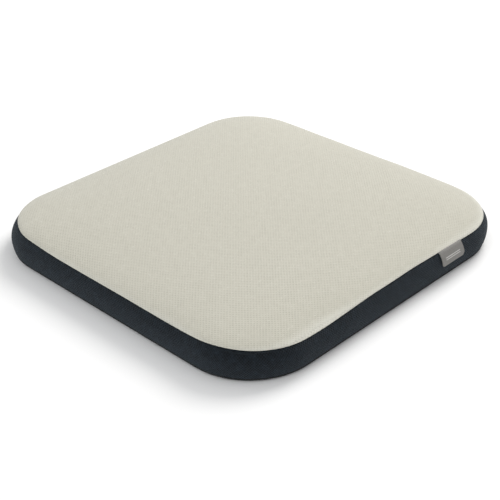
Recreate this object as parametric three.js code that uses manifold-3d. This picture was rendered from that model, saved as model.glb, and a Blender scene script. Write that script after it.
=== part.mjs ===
// Seat cushion: a two-layer foam core in a liner, inside a zipped fabric cover with a grip base.
// Millimetres, +Z up. Origin: middle of the footprint, on the surface the cushion lies on.
// +Y is the rear, where the zip is. -Y is the front, which carries the sewn-in side label.
import * as THREE from "three";
import { mergeVertices } from "three/addons/utils/BufferGeometryUtils.js";
import Module from "manifold-3d";

const wasm = await Module();
wasm.setup();

// ---- driving dimensions ----
const width = 380;
const depth = 380;
const cornerRadius = 70;
const cornerSteps = 9;
const clearance = 0.3;

// heights of the cover, from the ground up
const gripThickness = 1.0;
const baseThickness = 1.4;
const bandHeight = 23.1;
const crownRise = 9.6;
const domeRise = 2.1;
const shoulder = 62;
const crownPower = 1.9;

// fabric and seams
const bandThickness = 1.6;
const topThickness = 2.4;
const topHemThickness = 1.4;
const seamInset = 4.6;
const bulgePower = 2.2;
const allowance = 12;
const overlockThickness = 0.5;
const overlockReach = 3;
const hemSlot = 1.2;

// foam core
const linerThickness = 0.8;
const supportFoamShare = 0.55;
const coreSideGap = 0.6;
const coreFloorGap = 0.9;
const coreCeilingGap = 0.5;
const crownStart = 7;

// zip
const zipEndSpace = 2;
const zipTopTail = 5;
const slotHalf = 5.6;
const toothPitch = 3;
const toothWidth = 1.2;
const toothReach = 1.3;
const toothRoot = 1.9;
const toothBar = 1.2;
const teethThickness = 2.4;
const tapeThickness = 0.6;
const partTravel = 2.6;
const hemToSeam = 1.75;
const stopLength = 2.5;
const sliderLength = 12;
const sliderHalfWidth = 5;
const plateThickness = 1.0;
const postRadius = 1;
const bridgeInner = 1.4;
const bridgeOuter = 2.4;
const bridgeWidth = 3;
const pullThickness = 1.2;
const pullLength = 18;
const pullWidth = 6.5;

// labels
const labelWidth = 34;
const labelDrop = 16;
const labelThickness = 1.0;
const labelFromCorner = 23;
const careLabelWidth = 30;
const careLabelLength = 40;
const careLabelThickness = 0.5;

// ---- sizes that follow ----
const baseTop = gripThickness + baseThickness;
const baseHemFloor = baseTop + hemSlot;
const baseHemTop = baseHemFloor + baseThickness;
const bandBottom = baseHemTop + clearance;
const bandTop = bandBottom + bandHeight + bandThickness;
const topSeam = bandTop + clearance;
const zipMiddle = (bandBottom + bandTop) / 2;
const hemTip = seamInset + allowance;
const zipLength = width - 2 * (cornerRadius + zipEndSpace);

// How far the band's outer face stands in from the widest outline at height z.
function bulge(z) {
  const share = Math.abs(z - zipMiddle) / ((bandTop - bandBottom) / 2);
  return seamInset * Math.min(1, share) ** bulgePower;
}

// The tapes stand clear of the hems all the way to where they end when the zip is parted.
const hemReach = bandTop - hemToSeam - zipMiddle;
const tapeReach = hemReach - partTravel;
const tapeInset = bulge(zipMiddle + hemReach) + 2 * bandThickness + clearance;
const teethInset = tapeInset + tapeThickness / 2 - teethThickness / 2;
const outerPlateInset = teethInset - clearance - plateThickness;
const innerPlateInset = teethInset + teethThickness + clearance;
const pivotInset = outerPlateInset - clearance - pullThickness / 2;
const coreRearInset = innerPlateInset + plateThickness + clearance;
const coreSideInset = bandThickness + coreSideGap;

// ---- outlines ----
// Stations round a rounded rectangle, anticlockwise from the rear left corner, each with its normal.
function outline(wide, deep, radius, middleY = 0) {
  const stations = [];
  const corners = [[-1, 1], [-1, -1], [1, -1], [1, 1]];
  corners.forEach(([sideX, sideY], corner) => {
    for (let step = 0; step <= cornerSteps; step++) {
      const angle = (Math.PI / 2) * (1 + corner + step / cornerSteps);
      const nx = Math.cos(angle);
      const ny = Math.sin(angle);
      const x = sideX * (wide / 2 - radius) + radius * nx;
      const y = middleY + sideY * (deep / 2 - radius) + radius * ny;
      stations.push({ x, y, nx, ny });
    }
  });
  return stations;
}

const cover = outline(width, depth, cornerRadius);

// The two stations of a straight run along the rear, from xRight to xLeft.
function rearRun(xRight, xLeft) {
  return [xRight, xLeft].map((x) => ({ x, y: depth / 2, nx: 0, ny: 1 }));
}

// One closed ring of points, moved in from the stations by inset, then shrunk towards the middle.
function ring(stations, { inset, z, scale = 1 }) {
  return stations.map((s) => [(s.x - s.nx * inset) * scale, (s.y - s.ny * inset) * scale, z]);
}

// ---- mesh makers ----
function solidFrom(points, triangles) {
  let volume = 0;
  const [a, b, c] = [new THREE.Vector3(), new THREE.Vector3(), new THREE.Vector3()];
  for (const [i, j, k] of triangles) {
    a.fromArray(points[i]);
    b.fromArray(points[j]);
    c.fromArray(points[k]);
    volume += a.dot(b.cross(c));
  }
  const faces = volume < 0 ? triangles.map(([i, j, k]) => [i, k, j]) : triangles;
  const geometry = new THREE.BufferGeometry();
  geometry.setAttribute("position", new THREE.Float32BufferAttribute(points.flat(), 3));
  geometry.setIndex(faces.flat());
  return geometry;
}

// A solid whose surface runs through a row of rings; the first and last rings close on the middle.
function loft(stations, rows) {
  const points = rows.flatMap((row) => ring(stations, row));
  const count = stations.length;
  const triangles = [];
  for (let row = 0; row + 1 < rows.length; row++) {
    for (let i = 0; i < count; i++) {
      const next = (i + 1) % count;
      const [p, q] = [row * count + i, row * count + next];
      triangles.push([p, q, q + count], [p, q + count, p + count]);
    }
  }
  const middleY = (Math.max(...stations.map((s) => s.y)) + Math.min(...stations.map((s) => s.y))) / 2;
  const caps = [[0, rows[0], true], [(rows.length - 1) * count, rows.at(-1), false]];
  for (const [start, row, first] of caps) {
    const centre = points.length;
    points.push([0, middleY * (row.scale ?? 1), row.middleZ ?? row.z]);
    for (let i = 0; i < count; i++) {
      const [p, q] = [start + i, start + ((i + 1) % count)];
      triangles.push(first ? [q, p, centre] : [p, q, centre]);
    }
  }
  return solidFrom(points, triangles);
}

// A solid made by carrying a closed profile of { inset, z } along stations. An open run gets flat ends.
function sweep(stations, profile, closed) {
  const points = stations.flatMap((s) => profile.map((p) => ring([s], p)[0]));
  const count = profile.length;
  const triangles = [];
  const spans = closed ? stations.length : stations.length - 1;
  for (let i = 0; i < spans; i++) {
    const [from, to] = [i * count, ((i + 1) % stations.length) * count];
    for (let j = 0; j < count; j++) {
      const next = (j + 1) % count;
      triangles.push([from + j, to + j, to + next], [from + j, to + next, from + next]);
    }
  }
  if (!closed) {
    const flat = profile.map((p) => new THREE.Vector2(p.inset, p.z));
    const clockwise = THREE.ShapeUtils.isClockWise(flat);
    const last = (stations.length - 1) * count;
    for (const [i, j, k] of THREE.ShapeUtils.triangulateShape(flat, [])) {
      const turn = clockwise ? [i, k, j] : [i, j, k];
      triangles.push(turn, [turn[0] + last, turn[2] + last, turn[1] + last]);
    }
  }
  return solidFrom(points, matchEnds(points, triangles));
}

// Turns round any end cap whose edges run the same way as the wall's, so that the skin is one-sided.
function matchEnds(points, triangles) {
  const used = new Set();
  const edges = ([i, j, k]) => [`${i},${j}`, `${j},${k}`, `${k},${i}`];
  return triangles.map((triangle) => {
    const clash = edges(triangle).some((edge) => used.has(edge));
    const turned = clash ? [triangle[0], triangle[2], triangle[1]] : triangle;
    edges(turned).forEach((edge) => used.add(edge));
    return turned;
  });
}

function manifold(geometry) {
  const bare = geometry.clone();
  bare.deleteAttribute("normal");
  bare.deleteAttribute("uv");
  const merged = mergeVertices(bare, 1e-4);
  const mesh = new wasm.Mesh({
    numProp: 3,
    vertProperties: merged.attributes.position.array,
    triVerts: new Uint32Array(merged.index.array),
  });
  return new wasm.Manifold(mesh);
}

function fromManifold(body) {
  const mesh = body.getMesh();
  const geometry = new THREE.BufferGeometry();
  geometry.setAttribute("position", new THREE.Float32BufferAttribute(mesh.vertProperties, mesh.numProp));
  geometry.setIndex([...mesh.triVerts]);
  return geometry;
}

// A flat shape drawn in X (along the zip) and Z (across it), given thickness inwards from a rear inset.
function rearPlate(shape, inset, thickness) {
  const settings = { depth: thickness, bevelEnabled: false, curveSegments: 6 };
  const geometry = new THREE.ExtrudeGeometry(shape, settings);
  geometry.rotateX(Math.PI / 2);
  geometry.translate(0, depth / 2 - inset, 0);
  return geometry;
}

function box(x0, x1, y0, y1, z0, z1) {
  const geometry = new THREE.BoxGeometry(x1 - x0, y1 - y0, z1 - z0);
  geometry.translate((x0 + x1) / 2, (y0 + y1) / 2, (z0 + z1) / 2);
  return geometry;
}

// ---- cover ----
const crownStations = [0.01, 0.04, 0.1, 0.19, 0.31, 0.48, 0.7, 1];
const domeStations = [0.62, 0.28];

function crownHeight(inset) {
  const share = Math.min(1, Math.max(0, (inset - seamInset) / shoulder));
  return topSeam + crownRise * (1 - (1 - share) ** crownPower) ** (1 / crownPower);
}

// Rows of the crown from the middle outwards, lowered by drop, as far out as edgeInset.
function crownRows(drop, edgeInset) {
  const edge = seamInset + shoulder;
  const dome = (scale) => topSeam + crownRise + domeRise * (1 - scale * scale) - drop;
  const rows = domeStations.map((scale) => ({ inset: edge, scale, z: dome(scale) })).reverse();
  rows[0].middleZ = dome(0);
  for (const share of crownStations.toReversed()) {
    const inset = seamInset + share * shoulder;
    if (inset > edgeInset) rows.push({ inset, z: crownHeight(inset) - drop });
  }
  return rows;
}

function topPanel() {
  const slotEnd = hemTip - allowance / 2;
  const hemTop = topSeam + topHemThickness;
  const outer = crownRows(0, seamInset);
  const hem = [
    { inset: seamInset, z: topSeam },
    { inset: hemTip, z: topSeam },
    { inset: hemTip, z: hemTop },
    { inset: slotEnd, z: hemTop },
  ];
  const inner = crownRows(topThickness, hemTip - clearance).reverse();
  return loft(cover, [...outer, ...hem, ...inner]);
}

function basePanel() {
  return loft(cover, [
    { inset: hemTip, z: gripThickness },
    { inset: seamInset + baseThickness, z: gripThickness },
    { inset: seamInset + baseThickness / 3, z: gripThickness + baseThickness / 3 },
    { inset: seamInset, z: baseHemFloor },
    { inset: seamInset + baseThickness / 3, z: baseHemTop },
    { inset: hemTip, z: baseHemTop },
    { inset: hemTip, z: baseHemFloor },
    { inset: seamInset + baseThickness, z: baseHemFloor },
    { inset: seamInset + baseThickness, z: baseTop },
    { inset: hemTip, z: baseTop },
  ]);
}

function gripLayer() {
  const edge = seamInset + baseThickness;
  return loft(cover, [{ inset: edge, z: gripThickness }, { inset: edge, z: 0 }]);
}

// Points up or down the band's bulge, from one height to another, extra deep into the fabric.
const faceSteps = 6;
function face(from, to, extra) {
  return Array.from({ length: faceSteps + 1 }, (_, i) => {
    const z = from + ((to - from) * i) / faceSteps;
    return { inset: bulge(z) + extra, z };
  });
}

function borderBand() {
  const profile = [
    { inset: hemTip, z: bandBottom },
    ...face(bandBottom, bandTop, 0),
    { inset: hemTip, z: bandTop },
    { inset: hemTip, z: bandTop - bandThickness },
    ...face(bandTop - bandThickness, bandBottom + bandThickness, bandThickness),
    { inset: hemTip, z: bandBottom + bandThickness },
  ];
  const [right, left] = rearRun(zipLength / 2 + clearance, -zipLength / 2 - clearance);
  return sweep([left, ...cover, right], profile, false);
}

// One rear strip: side is 1 for the strip over the zip and -1 for the one under it.
function rearStrip(side) {
  const edge = zipMiddle + side * slotHalf;
  const turned = zipMiddle + side * hemReach;
  const seam = side > 0 ? bandTop : bandBottom;
  const allowanceBack = seam - side * bandThickness;
  const profile = [
    ...face(edge, seam, 0),
    { inset: hemTip, z: seam },
    { inset: hemTip, z: allowanceBack },
    ...face(allowanceBack, turned, bandThickness).slice(0, -1),
    { inset: bulge(turned) + bandThickness, z: turned },
    ...face(turned, edge, 2 * bandThickness),
  ];
  return sweep(rearRun(zipLength / 2, -zipLength / 2), profile, false);
}

// Thread wrapped round the raw edges of two hems, seen as a C in section.
function overlock(zLow, zHigh) {
  const inside = hemTip + clearance;
  const outside = inside + overlockThickness;
  const lip = hemTip - overlockReach / 2;
  return sweep(cover, [
    { inset: lip, z: zLow - clearance - overlockThickness },
    { inset: lip, z: zLow - clearance },
    { inset: inside, z: zLow - clearance },
    { inset: inside, z: zHigh + clearance },
    { inset: lip, z: zHigh + clearance },
    { inset: lip, z: zHigh + clearance + overlockThickness },
    { inset: outside, z: zHigh + clearance + overlockThickness },
    { inset: outside, z: zLow - clearance - overlockThickness },
  ], true);
}

// ---- core ----
const coreWidth = width - 2 * coreSideInset;
const coreDepth = depth - coreSideInset - coreRearInset;
const coreMiddleY = (coreSideInset - coreRearInset) / 2;
const core = outline(coreWidth, coreDepth, cornerRadius - coreSideInset, coreMiddleY);
const rebate = hemTip + 2 * clearance + overlockThickness - coreSideInset;
const coreFloor = baseTop + coreFloorGap;
const lowShelf = bandBottom + bandThickness + 2 * clearance + overlockThickness;
const highShelf = bandTop - bandThickness - 2 * clearance - overlockThickness;
const foamJoint = coreFloor + (topSeam - coreFloor) * supportFoamShare;

// The core's crown, with a rebate that leaves room for the seam, then its side down to the rim.
function coreTop(skin, rim) {
  const drop = topThickness + coreCeilingGap + skin;
  const rows = crownRows(drop, coreSideInset + rebate + crownStart);
  return [
    ...rows.map((row) => ({ ...row, inset: row.inset - coreSideInset })),
    { inset: rebate + skin, z: crownHeight(coreSideInset + rebate) - drop },
    { inset: rebate + skin, z: highShelf - skin },
    ...face(highShelf - skin, rim, skin),
  ];
}

function coreBottom(skin, rim) {
  return [
    ...face(rim, lowShelf + skin, skin),
    { inset: rebate + skin, z: lowShelf + skin },
    { inset: rebate + skin + hemSlot, z: coreFloor + skin },
  ];
}

function linerTop() {
  const rim = foamJoint + clearance / 2;
  return loft(core, [...coreTop(0, rim), ...coreTop(linerThickness, rim).reverse()]);
}

function linerBottom() {
  const rim = foamJoint - clearance / 2;
  return loft(core, [...coreBottom(0, rim).reverse(), ...coreBottom(linerThickness, rim)]);
}

const foamSkin = linerThickness + clearance;

function comfortFoam() {
  return loft(core, coreTop(foamSkin, foamJoint));
}

function supportFoam() {
  return loft(core, coreBottom(foamSkin, foamJoint));
}

// ---- zip ----
// The chain starts far enough along for the pull to stay in the slot when the zip is open.
const teethStart = -zipLength / 2 + pullLength + sliderLength / 5 + clearance;
const chainRoom = zipLength / 2 - zipTopTail - stopLength - sliderLength / 2 - teethStart;
const toothCount = Math.floor(chainRoom / toothPitch);
const teethEnd = teethStart + (toothCount + 0.5) * toothPitch;

function zipTape(side) {
  const near = toothRoot + toothBar + clearance;
  const profile = [
    { inset: tapeInset, z: zipMiddle + side * near },
    { inset: tapeInset, z: zipMiddle + side * tapeReach },
    { inset: tapeInset + tapeThickness, z: zipMiddle + side * tapeReach },
    { inset: tapeInset + tapeThickness, z: zipMiddle + side * near },
  ];
  const end = zipLength / 2 - clearance;
  return sweep(rearRun(end, -end), profile, false);
}

// One comb of teeth. The lower comb is the upper one turned over and moved on by half a pitch.
function zipTeeth(side) {
  const shift = side > 0 ? 0 : toothPitch / 2;
  const level = (reach) => zipMiddle + side * reach;
  const shape = new THREE.Shape();
  shape.moveTo(teethStart, level(toothRoot + toothBar));
  shape.lineTo(teethStart, level(toothRoot));
  for (let i = 0; i < toothCount; i++) {
    const x = teethStart + shift + (i + 0.25) * toothPitch;
    shape.lineTo(x, level(toothRoot));
    shape.lineTo(x, level(-toothReach));
    shape.lineTo(x + toothWidth, level(-toothReach));
    shape.lineTo(x + toothWidth, level(toothRoot));
  }
  shape.lineTo(teethEnd, level(toothRoot));
  shape.lineTo(teethEnd, level(toothRoot + toothBar));
  return rearPlate(shape, teethInset, teethThickness);
}

const sliderMiddle = teethEnd + clearance + postRadius - sliderLength / 5;
const sliderFront = sliderMiddle + sliderLength / 2;

function blockAt(x0, x1, zLow, zHigh) {
  return box(x0, x1, depth / 2 - teethInset - teethThickness, depth / 2 - teethInset, zLow, zHigh);
}

function topStop(side) {
  const x = sliderFront + clearance;
  const levels = [postRadius, toothRoot + toothBar].map((reach) => zipMiddle + side * reach);
  return blockAt(x, x + stopLength, Math.min(...levels), Math.max(...levels));
}

function bottomStop() {
  const x = teethStart - clearance;
  return blockAt(x - stopLength, x, zipMiddle - toothRoot - toothBar, zipMiddle + toothRoot + toothBar);
}

// The slider: two shield-shaped plates with rolled edges, joined by a post, and a bridge for the pull.
function zipSlider() {
  const half = sliderLength / 2;
  const narrow = sliderHalfWidth * 0.84;
  const shield = new THREE.Shape();
  shield.moveTo(-half, -narrow);
  shield.lineTo(half * 0.4, -sliderHalfWidth);
  shield.quadraticCurveTo(half, -sliderHalfWidth, half, -sliderHalfWidth * 0.55);
  shield.lineTo(half, sliderHalfWidth * 0.55);
  shield.quadraticCurveTo(half, sliderHalfWidth, half * 0.4, sliderHalfWidth);
  shield.lineTo(-half, narrow);
  const place = (geometry) => geometry.translate(sliderMiddle, 0, zipMiddle);
  let body = manifold(place(rearPlate(shield, outerPlateInset, plateThickness)));
  body = body.add(manifold(place(rearPlate(shield, innerPlateInset, plateThickness))));

  const postFrom = depth / 2 - innerPlateInset - plateThickness / 2;
  const postTo = depth / 2 - outerPlateInset - plateThickness / 2;
  const post = new THREE.CylinderGeometry(postRadius, postRadius, postTo - postFrom, 12);
  post.translate(sliderMiddle + sliderLength / 5, (postFrom + postTo) / 2, zipMiddle);
  body = body.add(manifold(post));

  // Rolled edges guide the tapes: one pair from each plate, with room for the tape between them.
  const railIn = narrow - 0.8;
  const railTo = narrow - 0.05;
  const rails = [
    [outerPlateInset + plateThickness / 2, tapeInset - clearance],
    [tapeInset + tapeThickness + clearance, innerPlateInset + plateThickness / 2],
  ];
  for (const [from, to] of rails) {
    for (const side of [-1, 1]) {
      const levels = [railIn, railTo].map((reach) => zipMiddle + side * reach);
      const [x0, x1] = [sliderMiddle - half + 0.4, sliderMiddle + half * 0.5];
      const [low, high] = [Math.min(...levels), Math.max(...levels)];
      body = body.add(manifold(box(x0, x1, depth / 2 - to, depth / 2 - from, low, high)));
    }
  }

  // The bridge arches over the pull's bar, round the pull's own axis.
  const arch = new THREE.Shape();
  const foot = outerPlateInset + plateThickness / 2 - pivotInset;
  arch.moveTo(bridgeOuter, -foot);
  arch.absarc(0, 0, bridgeOuter, 0, Math.PI, false);
  arch.lineTo(-bridgeOuter, -foot);
  arch.lineTo(-bridgeInner, -foot);
  arch.absarc(0, 0, bridgeInner, Math.PI, 0, true);
  arch.lineTo(bridgeInner, -foot);
  const bridgeSettings = { depth: bridgeWidth, bevelEnabled: false, curveSegments: 8 };
  const bridge = new THREE.ExtrudeGeometry(arch, bridgeSettings);
  bridge.translate(sliderMiddle, depth / 2 - pivotInset, zipMiddle - bridgeWidth / 2);
  return fromManifold(body.add(manifold(bridge)));
}

// The pull: a flat tab whose eye goes round the bridge. It lies along the closed teeth.
function zipPull() {
  const bar = pullThickness / 2;
  const eyeHalf = bridgeWidth / 2 + clearance;
  const shape = new THREE.Shape();
  const [neck, wide, tip] = [pullWidth * 0.42, pullWidth / 2, -pullLength];
  shape.moveTo(bar, -neck);
  shape.lineTo(bar, neck);
  shape.lineTo(-bridgeOuter - 2 * clearance - bar, neck);
  shape.lineTo(-pullLength * 0.35, wide);
  shape.lineTo(tip + wide, wide);
  shape.absarc(tip + wide, 0, wide, Math.PI / 2, Math.PI * 1.5, false);
  shape.lineTo(-pullLength * 0.35, -wide);
  shape.lineTo(-bridgeOuter - 2 * clearance - bar, -neck);
  const eye = new THREE.Path();
  eye.moveTo(-bar, -eyeHalf);
  eye.lineTo(-bridgeOuter - 2 * clearance, -eyeHalf);
  eye.lineTo(-bridgeOuter - 2 * clearance, eyeHalf);
  eye.lineTo(-bar, eyeHalf);
  const grip = new THREE.Path();
  grip.absarc(tip + wide, 0, wide * 0.42, 0, Math.PI * 2, true);
  shape.holes.push(eye, grip);
  const tab = rearPlate(shape, pivotInset - bar, pullThickness);
  return tab.translate(sliderMiddle, 0, zipMiddle);
}

// ---- labels ----
// A folded tab sewn into the top seam at the front. It hangs over the band's bulge.
function sideLabel() {
  const [low, high] = [bandTop - labelDrop, bandTop - clearance];
  const profile = [...face(low, high, -clearance - labelThickness), ...face(high, low, -clearance)];
  const right = width / 2 - cornerRadius - labelFromCorner;
  const run = [right - labelWidth, right].map((x) => ({ x, y: -depth / 2, nx: 0, ny: -1 }));
  return sweep(run, profile, false);
}

// A care label sewn to the base seam inside the cover, lying on the base panel.
function careLabel() {
  const x = -width / 2 + hemTip + 2 * clearance + overlockThickness;
  const floor = baseTop + clearance / 2;
  const half = careLabelWidth / 2;
  return box(x, x + careLabelLength, -half, half, floor, floor + careLabelThickness);
}

// ---- the cushion ----
const finishes = {
  knit: { color: 0xcdcabb, roughness: 0.92, metalness: 0 },
  mesh: { color: 0x2b3137, roughness: 0.88, metalness: 0 },
  base: { color: 0x1f2225, roughness: 0.9, metalness: 0 },
  silicone: { color: 0x2a2c2e, roughness: 0.6, metalness: 0 },
  liner: { color: 0xe6e4de, roughness: 0.95, metalness: 0 },
  softFoam: { color: 0xe9e3c9, roughness: 0.97, metalness: 0 },
  firmFoam: { color: 0x9aa0a4, roughness: 0.97, metalness: 0 },
  thread: { color: 0xb9b6aa, roughness: 0.85, metalness: 0 },
  tape: { color: 0x24282c, roughness: 0.85, metalness: 0 },
  nylon: { color: 0x2c3034, roughness: 0.45, metalness: 0 },
  metal: { color: 0x3a3d40, roughness: 0.35, metalness: 1 },
  label: { color: 0x8a8680, roughness: 0.8, metalness: 0 },
  satin: { color: 0xf0f0ee, roughness: 0.55, metalness: 0 },
};

const cushion = new THREE.Group();
function add(name, geometry, finish) {
  const mesh = new THREE.Mesh(geometry, new THREE.MeshStandardMaterial(finishes[finish]));
  mesh.name = name;
  cushion.add(mesh);
}

add("top_panel", topPanel(), "knit");
add("border_band", borderBand(), "mesh");
add("rear_strip_upper", rearStrip(1), "mesh");
add("rear_strip_lower", rearStrip(-1), "mesh");
add("base_panel", basePanel(), "base");
add("grip_layer", gripLayer(), "silicone");
add("top_seam_overlock", overlock(bandTop - bandThickness, topSeam + topHemThickness), "thread");
add("base_seam_overlock", overlock(baseHemFloor, bandBottom + bandThickness), "thread");
add("liner_top", linerTop(), "liner");
add("liner_bottom", linerBottom(), "liner");
add("comfort_foam", comfortFoam(), "softFoam");
add("support_foam", supportFoam(), "firmFoam");
add("zip_tape_upper", zipTape(1), "tape");
add("zip_tape_lower", zipTape(-1), "tape");
add("zip_teeth_upper", zipTeeth(1), "nylon");
add("zip_teeth_lower", zipTeeth(-1), "nylon");
add("zip_top_stop_upper", topStop(1), "metal");
add("zip_top_stop_lower", topStop(-1), "metal");
add("zip_bottom_stop", bottomStop(), "metal");
add("zip_slider", zipSlider(), "metal");
add("zip_pull", zipPull(), "metal");
add("side_label", sideLabel(), "label");
add("care_label", careLabel(), "satin");

export default cushion;
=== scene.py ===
import math

import bpy
import numpy as np
from mathutils import Matrix, Vector, noise


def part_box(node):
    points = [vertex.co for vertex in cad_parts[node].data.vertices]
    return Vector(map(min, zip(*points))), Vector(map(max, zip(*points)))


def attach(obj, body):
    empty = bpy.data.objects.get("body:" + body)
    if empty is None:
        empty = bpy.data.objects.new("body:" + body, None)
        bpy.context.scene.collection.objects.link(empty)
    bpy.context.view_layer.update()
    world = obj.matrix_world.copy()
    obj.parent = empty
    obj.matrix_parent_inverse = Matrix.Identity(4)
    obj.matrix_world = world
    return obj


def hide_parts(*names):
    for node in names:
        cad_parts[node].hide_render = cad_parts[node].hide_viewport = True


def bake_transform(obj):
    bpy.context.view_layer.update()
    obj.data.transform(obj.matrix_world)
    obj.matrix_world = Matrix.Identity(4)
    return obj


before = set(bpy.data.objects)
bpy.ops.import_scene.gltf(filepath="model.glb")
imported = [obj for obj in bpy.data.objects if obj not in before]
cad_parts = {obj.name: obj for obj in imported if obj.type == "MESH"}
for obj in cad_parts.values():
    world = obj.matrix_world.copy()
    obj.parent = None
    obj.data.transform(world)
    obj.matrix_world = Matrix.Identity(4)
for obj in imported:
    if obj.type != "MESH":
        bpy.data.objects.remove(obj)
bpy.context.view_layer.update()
mm = 0.001


# places taken from the frame
bandLow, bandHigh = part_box("border_band")
topLow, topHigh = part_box("top_panel")
stripLow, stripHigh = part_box("rear_strip_upper")
tapeLow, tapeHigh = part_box("zip_tape_upper")
teethLow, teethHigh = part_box("zip_teeth_upper")
linerLow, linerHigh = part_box("liner_top")

half = bandHigh.x                       # the widest outline, at the middle of the band
topSeam = topLow.z
crownTop = topHigh.z
bandTop = bandHigh.z
bandMiddle = (bandTop + bandLow.z) / 2
bandBottom = 3.4 * mm                   # the fabric hangs fuller than the frame, down over the base's edge
seamInset = half - topHigh.x            # how far the seams stand in from the widest outline
hemTip = half - stripLow.y              # where the turned-in edges end
cornerRadius = 70 * mm

cover = {"side": half, "front": -half, "rear": half, "radius": cornerRadius}


# small helpers
def stageNote(text):
    print("stage:", text, flush=True)


def objectMode():
    if bpy.context.object and bpy.context.object.mode != "OBJECT":
        bpy.ops.object.mode_set(mode="OBJECT")
    bpy.ops.object.select_all(action="DESELECT")


def makeActive(piece):
    objectMode()
    piece.select_set(True)
    bpy.context.view_layer.objects.active = piece


def pick(piece, kind, test):
    # selects, in edit mode, the vertices ("VERT") or faces ("FACE") that pass the test
    bpy.ops.object.mode_set(mode="OBJECT")
    mesh = piece.data
    for parts in (mesh.vertices, mesh.edges, mesh.polygons):
        for part in parts:
            part.select = False
    for part in mesh.vertices if kind == "VERT" else mesh.polygons:
        part.select = test(part)
    bpy.ops.object.mode_set(mode="EDIT")
    bpy.ops.mesh.select_mode(type=kind)


def applyModifier(piece, name, kind, **values):
    makeActive(piece)
    modifier = piece.modifiers.new(name, kind)
    for key, value in values.items():
        setattr(modifier, key, value)
    bpy.ops.object.modifier_apply(modifier=modifier.name)


def shadeSmooth(piece, degrees=60):
    makeActive(piece)
    bpy.ops.object.shade_smooth_by_angle(angle=math.radians(degrees))


def finishPiece(piece, body, material, replaced=()):
    piece.data.materials.clear()
    piece.data.materials.append(material)
    if body:
        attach(piece, body)
    if replaced:
        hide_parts(*replaced)


def moveVertices(piece, place):
    for vertex in piece.data.vertices:
        vertex.co = place(vertex.co)
    piece.data.update()


def smoothStep(low, high, value):
    share = min(1, max(0, (value - low) / (high - low)))
    return share * share * (3 - 2 * share)


# the band's bulge and the crown, as in the frame
shape = {
    "bulgePower": 2.2, "shoulder": 62 * mm, "crownPower": 1.9, "domeRise": 2.1 * mm,
    "domeReach": half - cornerRadius + 40 * mm, "domeFoot": 0.93, "lowInset": 2.3 * mm,
}
turnInShares = (0.12, 0.5, 1)           # where a turned-in edge has its rows of points
crownRise = crownTop - topSeam - shape["domeRise"]


def frameBulge(z):
    share = min(1, abs(z - bandMiddle) / (bandTop - bandMiddle))
    return seamInset * share ** shape["bulgePower"]


def bulge(z):
    # as in the frame above the middle, and fuller below it
    if z >= bandMiddle:
        return frameBulge(z)
    share = min(1, (bandMiddle - z) / (bandMiddle - bandBottom))
    return shape["lowInset"] * share ** shape["bulgePower"]


def crown(inset):
    share = min(1, max(0, (inset - seamInset) / shape["shoulder"]))
    return crownRise * (1 - (1 - share) ** shape["crownPower"]) ** (1 / shape["crownPower"])


# sweeping a section round the outline
def drawOut(step):
    bpy.ops.mesh.extrude_region_move(TRANSFORM_OT_translate={"value": step})


def drawSection(name, start, points):
    # a plane drawn together to one point, then drawn out along the section
    objectMode()
    bpy.ops.mesh.primitive_plane_add(size=mm, location=start(points[0]))
    piece = bpy.context.active_object
    piece.name = name
    piece.data.name = name
    bpy.ops.object.transform_apply(location=True, rotation=False, scale=False)
    bpy.ops.object.mode_set(mode="EDIT")
    bpy.ops.mesh.select_mode(type="VERT")
    bpy.ops.mesh.select_all(action="SELECT")
    bpy.ops.mesh.merge(type="CENTER")
    for here, there in zip(points, points[1:]):
        drawOut(start(there) - start(here))
    return piece


def mergeDoubles(distance):
    bpy.ops.mesh.select_all(action="SELECT")
    bpy.ops.mesh.remove_doubles(threshold=distance)


def extrudeAlong(direction, length, spacing):
    steps = max(2, 2 * round(length / spacing / 2))
    for _ in range(steps):
        drawOut(direction * (length / steps))


def turnCorner(x, y, steps):
    bpy.ops.mesh.spin(steps=steps, angle=-math.pi / 2, center=(x, y, 0), axis=(0, 0, 1))


def sweepOutline(name, outline, points, spacing, cornerSteps, gap=0):
    # points are (inset, height); gap is half the length left open at the rear, or 0 for a full round
    radius = outline["radius"]
    cornerX = outline["side"] - radius
    frontY, rearY = outline["front"] + radius, outline["rear"] - radius
    startX = -gap if gap else -cornerX
    corners = [(-cornerX, rearY), (-cornerX, frontY), (cornerX, frontY), (cornerX, rearY)]

    def start(point):
        return Vector((startX, outline["rear"] - point[0], point[1]))

    piece = drawSection(name, start, points)
    bpy.ops.mesh.select_all(action="SELECT")
    if gap:
        drawOut((gap - cornerX, 0, 0))
    for here, there in zip(corners, corners[1:] + corners[:1]):
        turnCorner(*here, cornerSteps)
        side = Vector((*there, 0)) - Vector((*here, 0))
        if gap and there == corners[0]:
            drawOut((gap - cornerX, 0, 0))
        else:
            extrudeAlong(side.normalized(), side.length, spacing)
    mergeDoubles(1e-6)
    return piece


def fillMiddle(piece, outline, height, spacing):
    # bridges the left and right sides of the inner square, in even steps
    cornerX = outline["side"] - outline["radius"]
    frontY, rearY = outline["front"] + outline["radius"], outline["rear"] - outline["radius"]

    def onSides(vertex):
        x, y, z = vertex.co
        inRange = frontY - 1e-5 < y < rearY + 1e-5
        return abs(abs(x) - cornerX) < 1e-5 and abs(z - height) < 1e-5 and inRange

    pick(piece, "VERT", onSides)
    cuts = max(2, 2 * round(2 * cornerX / spacing / 2)) - 1
    bpy.ops.mesh.bridge_edge_loops(number_cuts=cuts, interpolation="LINEAR")
    mergeDoubles(1e-6)


def faceOutwards(piece):
    bpy.ops.object.mode_set(mode="EDIT")
    bpy.ops.mesh.select_all(action="SELECT")
    bpy.ops.mesh.normals_make_consistent(inside=False)
    bpy.ops.object.mode_set(mode="OBJECT")


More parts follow.
